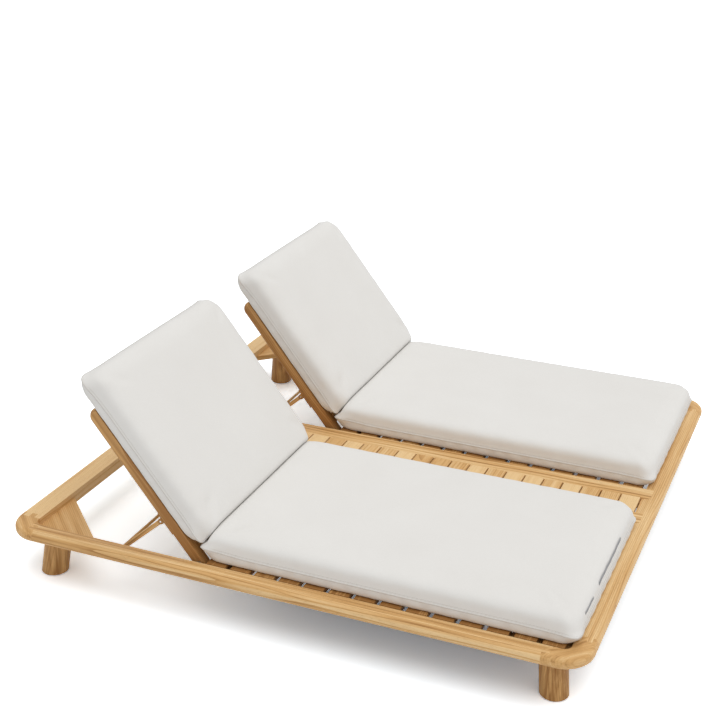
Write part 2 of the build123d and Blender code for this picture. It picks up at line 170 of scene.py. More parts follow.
class Paint(Network):
    """A material, its Principled shader and the usual patterns."""

    def __init__(self, name):
        self.material = bpy.data.materials.new(name)
        self.material.use_nodes = True
        super().__init__(self.material.node_tree)
        self.surface = self.tree.nodes["Principled BSDF"]

    def object_place(self):
        """Object coordinates, which are metres in the shared frame."""
        return self.node("ShaderNodeTexCoord", output="Object")

    def vector(self, operation, *values):
        return self.node("ShaderNodeVectorMath", {"operation": operation}, dict(enumerate(values)))

    def axes(self, vector):
        """The three coordinates of a vector, each as a wire."""
        apart = self.node("ShaderNodeSeparateXYZ", {}, {0: vector}).socket.node
        return [Wire(self, socket) for socket in apart.outputs]

    def noise(self, place, scale, detail=2.0, roughness=0.5):
        """Noise from 0 to 1, stretched by a scale for each axis."""
        stretched = self.vector("MULTIPLY", place, scale)
        values = {"Vector": stretched, "Scale": 1.0, "Detail": detail, "Roughness": roughness}
        return self.node("ShaderNodeTexNoise", {}, values, "Fac")

    def ramp(self, factor, stops):
        return self.node("ShaderNodeValToRGB", {"stops": stops}, {"Fac": factor}, "Color")

    def blend(self, factor, first, second):
        """A colour between two. A Mix node takes colours at 6 and 7, and gives one at 2."""
        options = {"data_type": "RGBA", "clamp_factor": True}
        return self.node("ShaderNodeMix", options, {0: factor, 6: first, 7: second}, output=2)

    def clamp(self, value, low, high):
        """Spread what lies between low and high over 0 to 1, and cut off the rest."""
        values = {"Value": value, "From Min": low, "From Max": high}
        return self.node("ShaderNodeMapRange", {"clamp": True}, values)

    def bump(self, height, distance, strength):
        values = {"Height": height, "Distance": distance, "Strength": strength}
        return self.node("ShaderNodeBump", {}, values)

    def finish(self, **values):
        """Set the Principled shader's sockets, written with _ for a space."""
        for name, value in values.items():
            self.put(self.surface.inputs[name.replace("_", " ")], value)
        return self.material


print("wires ready")

# %% [markdown]
# ## Teak
#
# A board is cut from a log, so its figure is a set of nested tubes, the year rings, cut by a
# plane. The shader does the same: it measures how far a point lies from the log's heart, bends
# that distance with slow noise, and turns it into bands. Along the grain everything is stretched:
# the fibres, and the short dark pores that make teak look like teak.

# %% The sizes of teak's figure
PALE = (0.800, 0.560, 0.285)
HONEY = (0.640, 0.372, 0.140)
BROWN = (0.330, 0.150, 0.040)
TEAK_STOPS = ((0.0, PALE), (0.52, HONEY), (1.0, BROWN))
RING_WIDTH = 0.0062

# Each noise's scale: along the grain, and twice across it.
WANDER_SCALE = (1.3, 5.0, 5.0)
DRIFT_SCALE = (0.8, 1.1, 1.1)
FIBRE_SCALE = (5.0, 210.0, 210.0)
STREAK_SCALE = (1.6, 58.0, 58.0)
PORE_SCALE = (65.0, 1300.0, 1300.0)
CLOUD_SCALE = (1.1, 4.0, 4.0)

# How far apart boards, and the four quarters of a mirrored teak, lie in the log.
BOARD_SHIFT = (3.7, 0.11, -0.07)
QUARTER_SHIFT = (3.1, 5.3, 0.0)

# How the patterns become dark late wood, pores, depth of colour and relief.
RING_WOBBLE = 3.0
WANDER_SHARE = 0.3
LATE_WOOD_RANGE = (0.35, 0.97)
LATE_WOOD_POWER = 2.2
PORE_RANGE = (0.60, 0.72)
FIBRE_DEPTH, CLOUD_DEPTH, BASE_DEPTH = 0.65, 0.6, 0.30
PORE_DARKNESS = 0.42
FIBRE_RELIEF, PORE_RELIEF, LATE_WOOD_RELIEF = 0.5, 0.8, 0.25
print("year rings every", RING_WIDTH * 1000, "mm")

# %% [markdown]
# Legs, corner blocks and gussets stand in the four quarters of the plan. A mirrored teak serves
# all four with one heart and one grain direction, and shifts its noise so that no two look alike.

# %% Oiled teak
def teak(
    name, turn, heart=(0.020, 0.075), mirrored=False, tone=0.0,
    wild=0.07, vary=0.0, rings=0.46, bands=1.15,
):
    """Teak whose grain runs along the local X axis that the turn gives.

    The tone darkens it, wild bends its rings, vary sets single boards apart, and rings and bands
    are the strength of its year rings and of its long streaks.
    """
    paint = Paint(name)
    plain = paint.object_place()
    place = paint.vector("ABSOLUTE", plain) if mirrored else plain
    board = paint.node("ShaderNodeAttribute", {"attribute_name": "board"}, output="Fac")
    values = {"Vector": place, "Rotation": turn}
    turned = paint.node("ShaderNodeMapping", {"vector_type": "POINT"}, values)
    steps = {axis: board * step for axis, step in zip("XYZ", BOARD_SHIFT)}
    point = paint.vector("ADD", turned, paint.node("ShaderNodeCombineXYZ", {}, steps))
    figure = point
    if mirrored:
        away = paint.vector("MULTIPLY", paint.vector("SIGN", plain), QUARTER_SHIFT)
        figure = paint.vector("ADD", point, away)

    wander = paint.noise(figure, WANDER_SCALE, 2.0)
    drift = paint.noise(figure, DRIFT_SCALE, 1.0)
    _, beside, under = paint.axes(point)
    across = beside + heart[0] + (drift - 0.5) * wild
    below = under + heart[1] + (wander - 0.5) * WANDER_SHARE * wild
    radius = (across * across + below * below).root()
    ring = (radius / RING_WIDTH + (wander - 0.5) * RING_WOBBLE).part()
    late_wood = paint.clamp(ring, *LATE_WOOD_RANGE) ** LATE_WOOD_POWER

    fibre = paint.noise(figure, FIBRE_SCALE, 3.0, 0.6)
    streak = paint.noise(figure, STREAK_SCALE, 2.0)
    pores = paint.clamp(paint.noise(figure, PORE_SCALE, 1.0), *PORE_RANGE)
    cloud = paint.noise(figure, CLOUD_SCALE, 1.0)

    depth = late_wood * rings + (streak - 0.5) * bands
    depth = depth + (fibre - 0.5) * FIBRE_DEPTH + (cloud - 0.5) * CLOUD_DEPTH
    depth = depth + (board - 0.5) * vary + (BASE_DEPTH + tone)
    color = paint.blend(pores * PORE_DARKNESS, paint.ramp(depth, TEAK_STOPS), (*BROWN, 1))
    relief = fibre * FIBRE_RELIEF - pores * PORE_RELIEF - late_wood * LATE_WOOD_RELIEF
    return paint.finish(
        Base_Color=color,
        Roughness=0.50 + fibre * 0.16,
        Normal=paint.bump(relief, distance=0.0004, strength=0.55),
        Specular_IOR_Level=0.30,
    )


QUARTER = math.pi / 2
PROP_ANGLE = math.radians(41.8)
ALONG = (0, 0, 0)
ACROSS = (0, 0, -QUARTER)
DIAGONAL = (0, 0, QUARTER / 2)
UPRIGHT = (0, QUARTER, 0)
UP_THE_BACK = (0, math.pi - BACKREST_ANGLE, 0)
SLAT_HEART = (0.03, 0.11)
LEG_HEART = (-0.78, 0.98)

TEAK_LONG = teak("teak_along", ALONG, wild=0.03, bands=2.1)
TEAK_ACROSS = teak("teak_across", ACROSS, tone=-0.14, wild=0.04, bands=1.25)
TEAK_HEAD = teak("teak_head", ACROSS, tone=-0.42, wild=0.03, bands=1.5)
TEAK_BOARDS = teak("teak_boards", ACROSS, SLAT_HEART, tone=-0.24, vary=0.85, rings=0.34)
# The seat slats lie under the cushions, so their teak is darkened: painted shade for the cushions'
# shadow.
TEAK_DECK_PAINTED_SHADE = teak("teak_deck_painted_shade", ACROSS, SLAT_HEART, tone=0.72, vary=0.30)
# The legs' teak is a darker brown, and is also darkened further as painted shade for the shadow the
# legs stand in.
TEAK_POST_TONE_AND_SHADE = teak("teak_posts_tone_and_shade", UPRIGHT, LEG_HEART, mirrored=True, tone=0.44, wild=0.03, rings=0.26)
TEAK_CORNER = teak(
    "teak_corners", DIAGONAL, mirrored=True, tone=0.10, wild=0.08, rings=0.17, bands=1.1
)
TEAK_GUSSET = teak(
    "teak_gussets", DIAGONAL, mirrored=True, tone=0.12, wild=0.06, rings=0.25, bands=0.85
)
# The backrest teak is a darker stain, and is also darkened as painted shade for the shadow under the
# overhanging back cushions.
TEAK_BACK_TONE_AND_SHADE = teak("teak_backrest_tone_and_shade", UP_THE_BACK, heart=(0.02, 0.06), tone=0.50)
TEAK_PROP = teak("teak_props", (0, PROP_ANGLE, 0), heart=(0.01, 0.05), tone=-0.02)
print("teak in ten finishes")

# %% [markdown]
# ## Cushion cloth
#
# Outdoor cushions are covered in a dense plain weave of off-white acrylic. Close by, warp and weft
# cross every millimetre, and single threads are a touch darker. The weave follows the cloth, so it
# reads the cushion's own UV map, which holds metres: two sine waves, one along each thread
# direction, make the crossings.

# %% Off-white cloth
LINEN = (0.800, 0.787, 0.760, 1)
LINEN_SHADE = (0.690, 0.665, 0.628, 1)
THREAD_PITCH = 0.0011
WARP_SLUBS = (900.0, 60.0, 1.0)
WEFT_SLUBS = (60.0, 900.0, 1.0)
CLOTH_CLOUDS = (5.0, 5.0, 5.0)
WEAVE_SHADE, SLUB_SHADE, CLOUD_SHADE, BASE_SHADE = 0.28, 0.55, 0.35, 0.18


def cloth(name):
    """Plain woven cloth in two close shades."""
    paint = Paint(name)
    flat = paint.node("ShaderNodeUVMap", {"uv_map": "cloth"})
    across, along, _ = paint.axes(flat)
    turns = 2 * math.pi / THREAD_PITCH
    weave = (across * turns).sine() * (along * turns).sine() * 0.5 + 0.5
    slub = paint.noise(flat, WARP_SLUBS, 1.0) * 0.5 + paint.noise(flat, WEFT_SLUBS, 1.0) * 0.5
    cloud = paint.noise(paint.object_place(), CLOTH_CLOUDS, 2.0)
    shade = (1 - weave) * WEAVE_SHADE + (slub - 0.5) * SLUB_SHADE
    shade = shade + (cloud - 0.5) * CLOUD_SHADE + BASE_SHADE
    color = paint.blend(shade, LINEN, LINEN_SHADE)
    return paint.finish(
        Base_Color=color,
        Roughness=0.92,
        Normal=paint.bump(weave * 0.6 + slub * 0.8, distance=0.0003, strength=0.5),
        Sheen_Weight=0.12,
        Specular_IOR_Level=0.25,
    )


CLOTH = cloth("cushion_cloth")
print("cloth threads every", THREAD_PITCH * 1000, "mm")

# %% [markdown]
# ## Small finishes
#
# The hinge and prop pins are brushed steel. Fine scratches run along the pins, so the noise is
# stretched along their axis. Thread is matte and a shade darker than the cloth, and the zip is
# grey.

# %% Steel, thread and zip
STEEL_DULL = (0.50, 0.50, 0.49, 1)
STEEL_BRIGHT = (0.62, 0.62, 0.60, 1)
SCRATCHES = (900.0, 40.0, 900.0)
FUZZ_SHADE = 0.72


def steel(name):
    paint = Paint(name)
    scratch = paint.noise(paint.object_place(), SCRATCHES, 2.0)
    return paint.finish(
        Base_Color=paint.blend(scratch, STEEL_DULL, STEEL_BRIGHT),
        Metallic=1.0,
        Roughness=0.26 + scratch * 0.16,
        Normal=paint.bump(scratch, distance=0.0001, strength=0.3),
    )


def plain_fibre(name, color, scale, roughness):
    """Thread, tape or nylon: one colour that fine noise breaks up."""
    paint = Paint(name)
    fuzz = paint.noise(paint.object_place(), (scale, scale, scale), 2.0)
    darker = tuple(channel * FUZZ_SHADE for channel in color)
    return paint.finish(
        Base_Color=paint.blend(fuzz, (*color, 1), (*darker, 1)),
        Roughness=roughness,
        Normal=paint.bump(fuzz, distance=0.0002, strength=0.4),
    )


STEEL = steel("brushed_steel")
WELT_CLOTH = plain_fibre("welt_cloth", (0.710, 0.680, 0.635), scale=1200.0, roughness=0.9)
THREAD = plain_fibre("sewing_thread", (0.56, 0.53, 0.48), scale=1500.0, roughness=0.8)
ZIP_TAPE = plain_fibre("zip_tape", (0.38, 0.385, 0.40), scale=1100.0, roughness=0.85)
ZIP_TEETH = plain_fibre("zip_teeth", (0.34, 0.345, 0.36), scale=600.0, roughness=0.45)
print("small finishes ready")

# %% [markdown]
# ## Dressing the CAD pieces
#
# Each piece of timber keeps its CAD shape and gets the teak whose grain runs along it. A table of
# name beginnings and materials says which is which, and the first one that fits is used. A corner
# block is sawn from thick stock, with its grain laid across the corner from rail to rail. Slats
# and cushions are dressed here too, but pieces made further down take their places.

# %% Give each CAD piece its material
FINISHES = (
    ("corner_block", TEAK_CORNER),
    ("corner_gusset", TEAK_GUSSET),
    ("head_rail", TEAK_HEAD),
    (("foot_rail", "hinge_rail", "prop_foot_bar"), TEAK_ACROSS),
    (("backrest_top_rail", "backrest_bottom_rail"), TEAK_ACROSS),
    (("hinge_pins", "prop_pins"), STEEL),
    # Backrest rails and prop brackets get the backrest teak: a darker stain plus painted shade.
    (("prop_brackets", "backrest_rail"), TEAK_BACK_TONE_AND_SHADE),
    ("prop_leg", TEAK_PROP),
    # The legs get teak that is partly a darker tone and partly painted shade.
    ("leg_", TEAK_POST_TONE_AND_SHADE),
    ("", TEAK_LONG),
)


for name, node in frame["nodes"].items():
    finish = next(material for start, material in FINISHES if name.startswith(start))
    node.data.materials.clear()
    node.data.materials.append(finish)
print("dressed", len(frame["nodes"]), "nodes")

# %% [markdown]
# ## Growing what repeats
#
# Slats, stitches and zip teeth are many copies of one small shape. A Geometry Nodes tree makes
# them: its named inputs hold the sizes, and the script sets them on the modifier.

# %% Helpers for Geometry Nodes
class GrowTree:
    """A Geometry Nodes tree under construction."""

    def __init__(self, name, **sizes):
        self.tree = bpy.data.node_groups.new(name, "GeometryNodeTree")
        face = self.tree.interface
        face.new_socket("Geometry", in_out="INPUT", socket_type="NodeSocketGeometry")
        for size, value in sizes.items():
            kind = "NodeSocketInt" if isinstance(value, int) else "NodeSocketFloat"
            face.new_socket(size, in_out="INPUT", socket_type=kind).default_value = value
        face.new_socket("Geometry", in_out="OUTPUT", socket_type="NodeSocketGeometry")
        self.entry = self.tree.nodes.new("NodeGroupInput")
        self.exit = self.tree.nodes.new("NodeGroupOutput")

    def size(self, name):
        return self.entry.outputs[name]

    def node(self, kind, options=None, values=None, output=0):
        """Add a node, set its options, then feed its sockets; gives one output socket."""
        made = self.tree.nodes.new(kind)
        for option, value in (options or {}).items():
            setattr(made, option, value)
        for socket, value in (values or {}).items():
            if isinstance(value, bpy.types.NodeSocket):
                self.tree.links.new(value, made.inputs[socket])
            else:
                made.inputs[socket].default_value = value
        return made.outputs[output]

    def maths(self, operation, first, second):
        return self.node("ShaderNodeMath", {"operation": operation}, {0: first, 1: second})

    def rectangle(self, width, height):
        values = {"Width": self.size(width), "Height": self.size(height)}
        return self.node("GeometryNodeCurvePrimitiveQuadrilateral", {"mode": "RECTANGLE"}, values)

    def sweep(self, line, profile, caps):
        values = {"Curve": line, "Profile Curve": profile, "Fill Caps": caps}
        return self.node("GeometryNodeCurveToMesh", {}, values)

    def path(self):
        """The line of the start mesh as a curve."""
        return self.node("GeometryNodeMeshToCurve", {}, {"Mesh": self.entry.outputs["Geometry"]})

    def along(self, path, pitch, shape):
        """Copies of a shape at even steps along a path, each turned with it."""
        values = {"Curve": path, "Length": pitch}
        marks = self.node("GeometryNodeCurveToPoints", {"mode": "LENGTH"}, values)
        values = {"Points": marks, "Instance": shape, "Rotation": marks.node.outputs["Rotation"]}
        return self.node("GeometryNodeInstanceOnPoints", {}, values)

    def real(self, geometry):
        return self.node("GeometryNodeRealizeInstances", {}, {"Geometry": geometry})

    def painted(self, geometry, material):
        values = {"Geometry": geometry, "Material": material}
        return self.node("GeometryNodeSetMaterial", {}, values)

    def hand_out(self, geometry):
        self.tree.links.new(geometry, self.exit.inputs[0])
        return self.tree

    def close(self, geometry, material):
        """Turn instances into a mesh, colour it and hand it out."""
        return self.hand_out(self.painted(self.real(geometry), material))


def add_piece(name, mesh):
    piece = bpy.data.objects.new(name, mesh)
    scene.collection.objects.link(piece)
    return piece


def evaluated_mesh(piece):
    """The mesh that a piece's modifiers make, as data of its own."""
    graph = bpy.context.evaluated_depsgraph_get()
    return bpy.data.meshes.new_from_object(piece.evaluated_get(graph), depsgraph=graph)


def grow(name, tree, start=None, place=None, **sizes):
    """Run a tree on a start mesh, and keep what it makes as a plain piece."""
    seed = add_piece(name + "_seed", start or bpy.data.meshes.new(name + "_seed"))
    modifier = seed.modifiers.new("grow", "NODES")
    modifier.node_group = tree
    for socket in tree.interface.items_tree:
        if socket.in_out == "INPUT" and socket.name in sizes:
            modifier[socket.identifier] = sizes[socket.name]
    bpy.context.view_layer.update()
    mesh = evaluated_mesh(seed)
    bpy.data.objects.remove(seed)
    mesh.name = name
    if place:
        mesh.transform(place)
    return add_piece(name, mesh)


print("ready to grow")

# %% [markdown]
# ## Slats with eased edges
#
# Real slats leave the planer with sharp edges, which are then rounded by about two millimetres so
# that they don't splinter. The rounding catches the light between two boards. One board here is a
# rounded rectangle swept across the seat, and the tree lays it down as often as the frame has
# slats. Every board gets a random number in the attribute `board`, which the teak uses to cut it
# from another part of the log.

# %% A tree that lays boards
BOARD_EASE = 0.0022
BOARD_SEED = 7


def board_tree(material):
    sizes = {"Pitch": 0.1, "Width": 0.05, "Thickness": 0.02, "Length": 0.5, "Round": BOARD_EASE}
    grown = GrowTree("boards", Count=1, **sizes)
    profile = grown.rectangle("Width", "Thickness")
    values = {"Curve": profile, "Radius": grown.size("Round"), "Count": 3}
    eased = grown.node("GeometryNodeFilletCurve", {"mode": "POLY"}, values)
    ends = []
    for share in (-0.5, 0.5):
        reach = grown.maths("MULTIPLY", grown.size("Length"), share)
        ends.append(grown.node("ShaderNodeCombineXYZ", {}, {"Y": reach}))
    line = grown.node("GeometryNodeCurvePrimitiveLine", {}, {"Start": ends[0], "End": ends[1]})
    board = grown.sweep(line, eased, caps=True)
    step = grown.node("ShaderNodeCombineXYZ", {}, {"X": grown.size("Pitch")})
    row = grown.node("GeometryNodeMeshLine", {}, {"Count": grown.size("Count"), "Offset": step})
    laid = grown.node("GeometryNodeInstanceOnPoints", {}, {"Points": row, "Instance": board})
    options = {"data_type": "FLOAT"}
    chance = grown.node("FunctionNodeRandomValue", options, {"Seed": BOARD_SEED}).node
    options = {"data_type": "FLOAT", "domain": "INSTANCE"}
    values = {"Geometry": laid, "Name": "board"}
    named = grown.node("GeometryNodeStoreNamedAttribute", options, values)
    value = next(s for s in chance.outputs if s.type == "VALUE" and s.enabled)
    slot = next(s for s in named.node.inputs if s.name == "Value" and s.enabled)
    grown.tree.links.new(value, slot)
    return grown.close(named, material)


BOARDS = board_tree(TEAK_BOARDS)


def lay_boards(name, node, body, first, place=None, wood=None, **sizes):
    """Boards in place of one CAD node: first is the centre of the first board."""
    moved = (place or Matrix()) @ Matrix.Translation(first)
    piece = grow(name, BOARDS, place=moved, Round=BOARD_EASE, **sizes)
    if wood:
        for slot in range(len(piece.data.materials)):
            piece.data.materials[slot] = wood
    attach(piece, body)
    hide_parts(node)
    return piece


print("board tree ready, edges eased by", BOARD_EASE * 1000, "mm")

# %% [markdown]
# The box of a CAD row of slats says where the row starts and ends. The slat's own width and gap
# are the sizes named here.

# %% Lay the table and seat slats
TABLE_SLAT = 0.06515
TABLE_GAP = 0.0055
SEAT_SLAT = 0.068
SEAT_GAP = 0.01756


def lay_row(name, node, slat, gap, wood=None):
    low, high = (Vector(corner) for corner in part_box(node))
    count = round((high.x - low.x + gap) / (slat + gap))
    middle = (low + high) / 2
    piece = lay_boards(
        name,
        node,
        "frame",
        Vector((low.x + slat / 2, middle.y, middle.z)),
        wood=wood,
        Count=count,
        Width=slat,
        Thickness=high.z - low.z,
        Length=high.y - low.y,
        Pitch=slat + gap,
    )
    print(name, count, "boards,", len(piece.data.polygons), "faces")


lay_row("table_top_slats", "table_slats", TABLE_SLAT, TABLE_GAP)
# The seat decks get the teak that is darkened as painted shade from the cushions above.
for side in SIDES:
    lay_row(f"seat_deck_{side}", f"seat_slats_{side}", SEAT_SLAT, SEAT_GAP, wood=TEAK_DECK_PAINTED_SHADE)

# %% [markdown]
# The slats of a backrest lean with it. The tree lays them flat, and a matrix then turns the whole
# row into the backrest's own plane: its first axis runs up the back, its third faces the sitter.
# The boards ride on the backrest, so they tilt with it.

# %% Lay the backrest slats
BACK_SLAT_COUNT = 5
BACK_SLAT = 0.068
BACK_SLAT_THICKNESS = 0.014
BACK_SLAT_RECESS = 0.002
BACK_SLATS_FROM = 0.068
BACK_SLATS_TO = 0.548


def back_plane(side, height):
    """The backrest's plane at a height above the middle of its rails."""
    turn = Matrix.Identity(4)
    for column, axis in enumerate((UP_BACK, Vector((0, -1, 0)), FRONT)):
        for row in range(3):
            turn[row][column] = axis[row]
    return Matrix.Translation(HINGES[side] + FRONT * height) @ turn


BACK_GAP = (BACK_SLATS_TO - BACK_SLATS_FROM - BACK_SLAT_COUNT * BACK_SLAT) / (BACK_SLAT_COUNT + 1)
BACK_SLAT_HEIGHT = BACKREST_HALF_DEPTH - BACK_SLAT_RECESS - BACK_SLAT_THICKNESS / 2
for side in SIDES:
    low, high = (Vector(corner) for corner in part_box(f"backrest_slats_{side}"))
    lay_boards(
        f"backrest_boards_{side}",
        f"backrest_slats_{side}",
        f"backrest_{side}",
        Vector((BACK_SLATS_FROM + BACK_GAP + BACK_SLAT / 2, 0, 0)),
        place=back_plane(side, BACK_SLAT_HEIGHT),
        Count=BACK_SLAT_COUNT,
        Width=BACK_SLAT,
        Thickness=BACK_SLAT_THICKNESS,
        Length=high.y - low.y,
        Pitch=BACK_SLAT + BACK_GAP,
    )
print("backrest slats", round(BACK_GAP * 1000, 1), "mm apart")

# %% [markdown]
# ## A cushion as two sheets of cloth
#
# A cushion like these is sewn from two panels. The upper one covers the top and most of the side,
# the lower one the underside and a narrow band. They meet in a seam with a thin welt, a third of
# the way up. The filling is stiff foam in a soft wrap, so the top is nearly flat, the edge rolls
# over in a quick curve, and the corners stand a little proud where the cloth has no room to give.
#
# The form below starts from the same idea: two grids of points that share their outermost ring,
# the seam. Each grid is pushed into shape by one profile, read from the seam inwards. At the
# corners the square rings of the grid are bent into arcs.

# %% The cushion's profiles
CELL = 0.013
SEAM_HEIGHT = 0.036
CORNER_ROUND = 0.060
CORNER_CELLS = 8
UPPER = (
    (0, SEAM_HEIGHT),
    (-0.001, 0.056),
    (0.003, 0.076),
    (0.012, 0.0905),
    (0.030, 0.0985),
    (0.060, 0.102),
)
LOWER = ((0, SEAM_HEIGHT), (0.001, 0.014), (0.005, 0.002), (0.014, 0.0), (0.060, 0.0))
CROWN = 0.0025


def along_profile(profile, share):
    """Inset and height at shares of a profile's length, and that length."""
    points = np.array(profile)
    steps = np.hypot(*np.diff(points, axis=0).T)
    places = np.concatenate(([0], np.cumsum(steps)))
    at = share * places[-1]
    return np.interp(at, places, points[:, 0]), np.interp(at, places, points[:, 1]), places[-1]


print("profile lengths", [round(float(along_profile(p, 1.0)[2]), 4) for p in (UPPER, LOWER)])

# %% [markdown]
# The grid's middle part is laid out flat, and the outer eight rings carry the profile. Four small
# things then make a sewn cushion of a rounded box. The sides are drawn in next to the corners, and
# bulge back a little towards their middle. Each corner keeps an ear, a tighter tip that the seam
# holds out. The cloth puckers by a millimetre in crossing waves. And the seam doesn't run level:
# it climbs where two cushions press on each other and drops at the free end.
#
# A few names below end in RAMP: the distance over which a form grows to its full size.

# %% Sheets of the cushion
DRAWN_IN = 0.0018
DRAWN_RAMP = 0.10
DRAWN_RELIEF = 0.45
EAR = 0.018
EAR_POWER = 5
EAR_TUCK = {"seat": 0.009, "back": 0.004}
MEETING_EAR = 0.010
MEETING_EAR_POWER = 3
CORNER_SLOPE = 0.14
PUCKER = 0.0011
PUCKER_WAVES = ((74, 31, 0), (23, -57, 1))
MEETING_STEEPER = 0.5
MEETING_BULGE = 0.003
BULGE_RAMP = 0.07
MEETING_SHOULDER = 0.010
SHOULDER_RAMP = 0.03
CROWN_RAMP = 0.12
LIFT_RAMP = 0.17
LIFT_HEIGHT = 0.064


def ease(share):
    share = np.clip(share, 0, 1)
    return share * share * (3 - 2 * share)


def axis_grid(size):
    """Grid lines along one side: core coordinate, share of the border from 0 to 1, and sign."""
    core = size - 2 * CORNER_ROUND
    cells = max(4, round(core / CELL))
    middle = np.linspace(-core / 2, core / 2, cells + 1)
    zone = np.linspace(1, 0, CORNER_CELLS + 1)[:-1]
    corner = np.full(CORNER_CELLS, core / 2)
    place = np.concatenate((-corner, middle, corner))
    out = np.concatenate((zone, np.zeros(cells + 1), zone[::-1]))
    return place, out, np.sign(place)


def drawn(place, half):
    """How far a side is drawn in: nothing at the corners, most beside them, less in the middle."""
    from_corner = half - np.abs(place)
    relief = 1 - DRAWN_RELIEF * ease(from_corner / half)
    return DRAWN_IN * ease(from_corner / DRAWN_RAMP) * relief


def bulging(place, half):
    """How far the end that meets another cushion bulges out between its corners."""
    return MEETING_BULGE * ease((half - np.abs(place)) / BULGE_RAMP)


def grid_of(first, second):
    """Pairs of values on a grid: the first change down its rows, the second along them."""
    return np.stack(np.broadcast_arrays(first[:, None], second[None]), axis=-1)


def sheet_points(kind, length, width, profile, crown, start_lift, end_lift):
    """One sheet's points as a grid, and their flat places. A lower sheet has no crown."""
    x_core, x_out, x_sign = axis_grid(length)
    y_core, y_out, y_sign = axis_grid(width)
    out = grid_of(x_out * x_sign, y_out * y_sign)
    ring = np.abs(out).max(axis=-1)
    norm = np.hypot(out[..., 0], out[..., 1])
    inset, height, cut = along_profile(profile, 1 - ring)
    towards = out / np.where(norm > 0, norm, 1)[..., None]
    meeting = np.clip(-towards[..., 0], 0, 1) ** 2
    if crown > 0:
        shoulder = MEETING_SHOULDER * ease((height - SEAM_HEIGHT) / SHOULDER_RAMP) * ease(ring * 2)
        inset = inset * (1 - MEETING_STEEPER * meeting) - shoulder * meeting
    core = grid_of(x_core, y_core)
    diagonal = (2 * towards[..., 0] * towards[..., 1]) ** 2
    reach = CORNER_ROUND - inset + EAR * diagonal * ring**EAR_POWER
    if crown == 0:
        reach = reach - EAR_TUCK[kind] * diagonal * ease(1 - height / SEAM_HEIGHT) * ring
    else:
        height = height - CORNER_SLOPE * (height - SEAM_HEIGHT) * diagonal * ease(ring * 1.5)
    plan = core + towards * reach[..., None]
    waves = [np.sin(a * plan[..., 0] + b * plan[..., 1] + c) for a, b, c in PUCKER_WAVES]
    pucker = PUCKER * (waves[0] * waves[1]) * np.sin(math.pi * ring)
    plan = plan + towards * pucker[..., None]
    tip = np.where(plan[..., 0] < 0, MEETING_EAR, 0)
    plan[..., 0] -= tip * diagonal * ring**MEETING_EAR_POWER
    half = np.array((length, width)) / 2
    climb = np.clip((half - CORNER_ROUND - np.abs(core)) / CROWN_RAMP, 0, 1)
    height = height + crown * np.prod(1 - (1 - climb) ** 2, axis=-1)
    edge = np.clip(ring * 1.6, 0, 1)
    side = drawn(plan[..., 0], half[0]) * out[..., 1]
    beside = plan[..., 1]
    pull = np.where(out[..., 0] < 0, -bulging(beside, half[1]), drawn(beside, half[1]))
    end = pull * out[..., 0]
    near_corner = np.prod(1 - ease((half - np.abs(plan)) / LIFT_RAMP), axis=-1)
    lift = np.where(plan[..., 0] < 0, start_lift, end_lift) * near_corner
    above = 1 - (height - SEAM_HEIGHT) / LIFT_HEIGHT
    at_seam = np.where(height < SEAM_HEIGHT, height / SEAM_HEIGHT, above)
    height = height + lift * np.clip(at_seam, 0, 1)
    plan = plan - np.stack((end, side), axis=-1) * edge[..., None]
    return np.concatenate((plan, height[..., None]), axis=-1), core + out * cut


print("sheets with", CORNER_CELLS, "border rings and cells of", CELL * 1000, "mm")

# %% [markdown]
# The two grids become one closed mesh. Only the outermost ring is shared. The cloth's UV map holds
# the flat places in metres, so the weave keeps its size everywhere. The vertex group `held` marks
# the seam, where the welt stiffens the cloth, and the underside, which lies on the slats. A
# stuffed cover is fuller than its box, so the backs stand proud at their sides and the seats at
# their foot end.

# %% Sew the sheets together
SEAM_LIFTS = {"seat": (0.010, -0.004), "back": (0.001, -0.008)}
SIDE_PROUD = {"seat": 0.0, "back": 0.008}
END_PROUD = {"seat": 0.009, "back": 0.0}
LYING = 0.0005


def sew(name, kind, length, width):
    """One closed cushion on z = 0, with the point numbers of its seam and of the ring above."""
    upper, upper_flat = sheet_points(kind, length, width, UPPER, CROWN, *SEAM_LIFTS[kind])
    lower, lower_flat = sheet_points(kind, length, width, LOWER, 0.0, *SEAM_LIFTS[kind])
    rows, columns = upper.shape[:2]
    upper_number = np.arange(rows * columns).reshape(rows, columns)
    lower_number = upper_number.copy()
    hidden = np.zeros((rows, columns), bool)
    hidden[1:-1, 1:-1] = True
    lower_number[hidden] = rows * columns + np.arange(hidden.sum())
    points = np.concatenate((upper.reshape(-1, 3), lower[hidden]))
    faces, flats = [], []
    for number, flat, order in ((upper_number, upper_flat, 1), (lower_number, lower_flat, -1)):
        ring = [(0, 0), (1, 0), (1, 1), (0, 1)][::order]
        corners = [number[i : rows - 1 + i, j : columns - 1 + j].ravel() for i, j in ring]
        places = [flat[i : rows - 1 + i, j : columns - 1 + j].reshape(-1, 2) for i, j in ring]
        faces.append(np.stack(corners, axis=1))
        flats.append(np.stack(places, axis=1))
    faces = np.concatenate(faces)
    mesh = bpy.data.meshes.new(name)
    mesh.from_pydata(points.tolist(), [], faces.tolist())
    layer = mesh.uv_layers.new(name="cloth")
    layer.data.foreach_set("uv", np.concatenate(flats).reshape(-1))
    mesh.shade_smooth()
    mesh.materials.append(CLOTH)
    piece = add_piece(name, mesh)
    held = piece.vertex_groups.new(name="held")
    near, far = upper_number[:, 0], upper_number[-2::-1, -1]
    seam = np.concatenate((near, upper_number[-1, 1:], far, upper_number[0, -2:0:-1]))
    row, column = np.divmod(seam, columns)
    above = upper_number[np.clip(row, 1, rows - 2), np.clip(column, 1, columns - 2)]
    under = lower_number[lower[..., 2] < LYING]
    held.add([int(n) for n in np.concatenate((seam, under))], 1.0, "REPLACE")
    return piece, seam, above


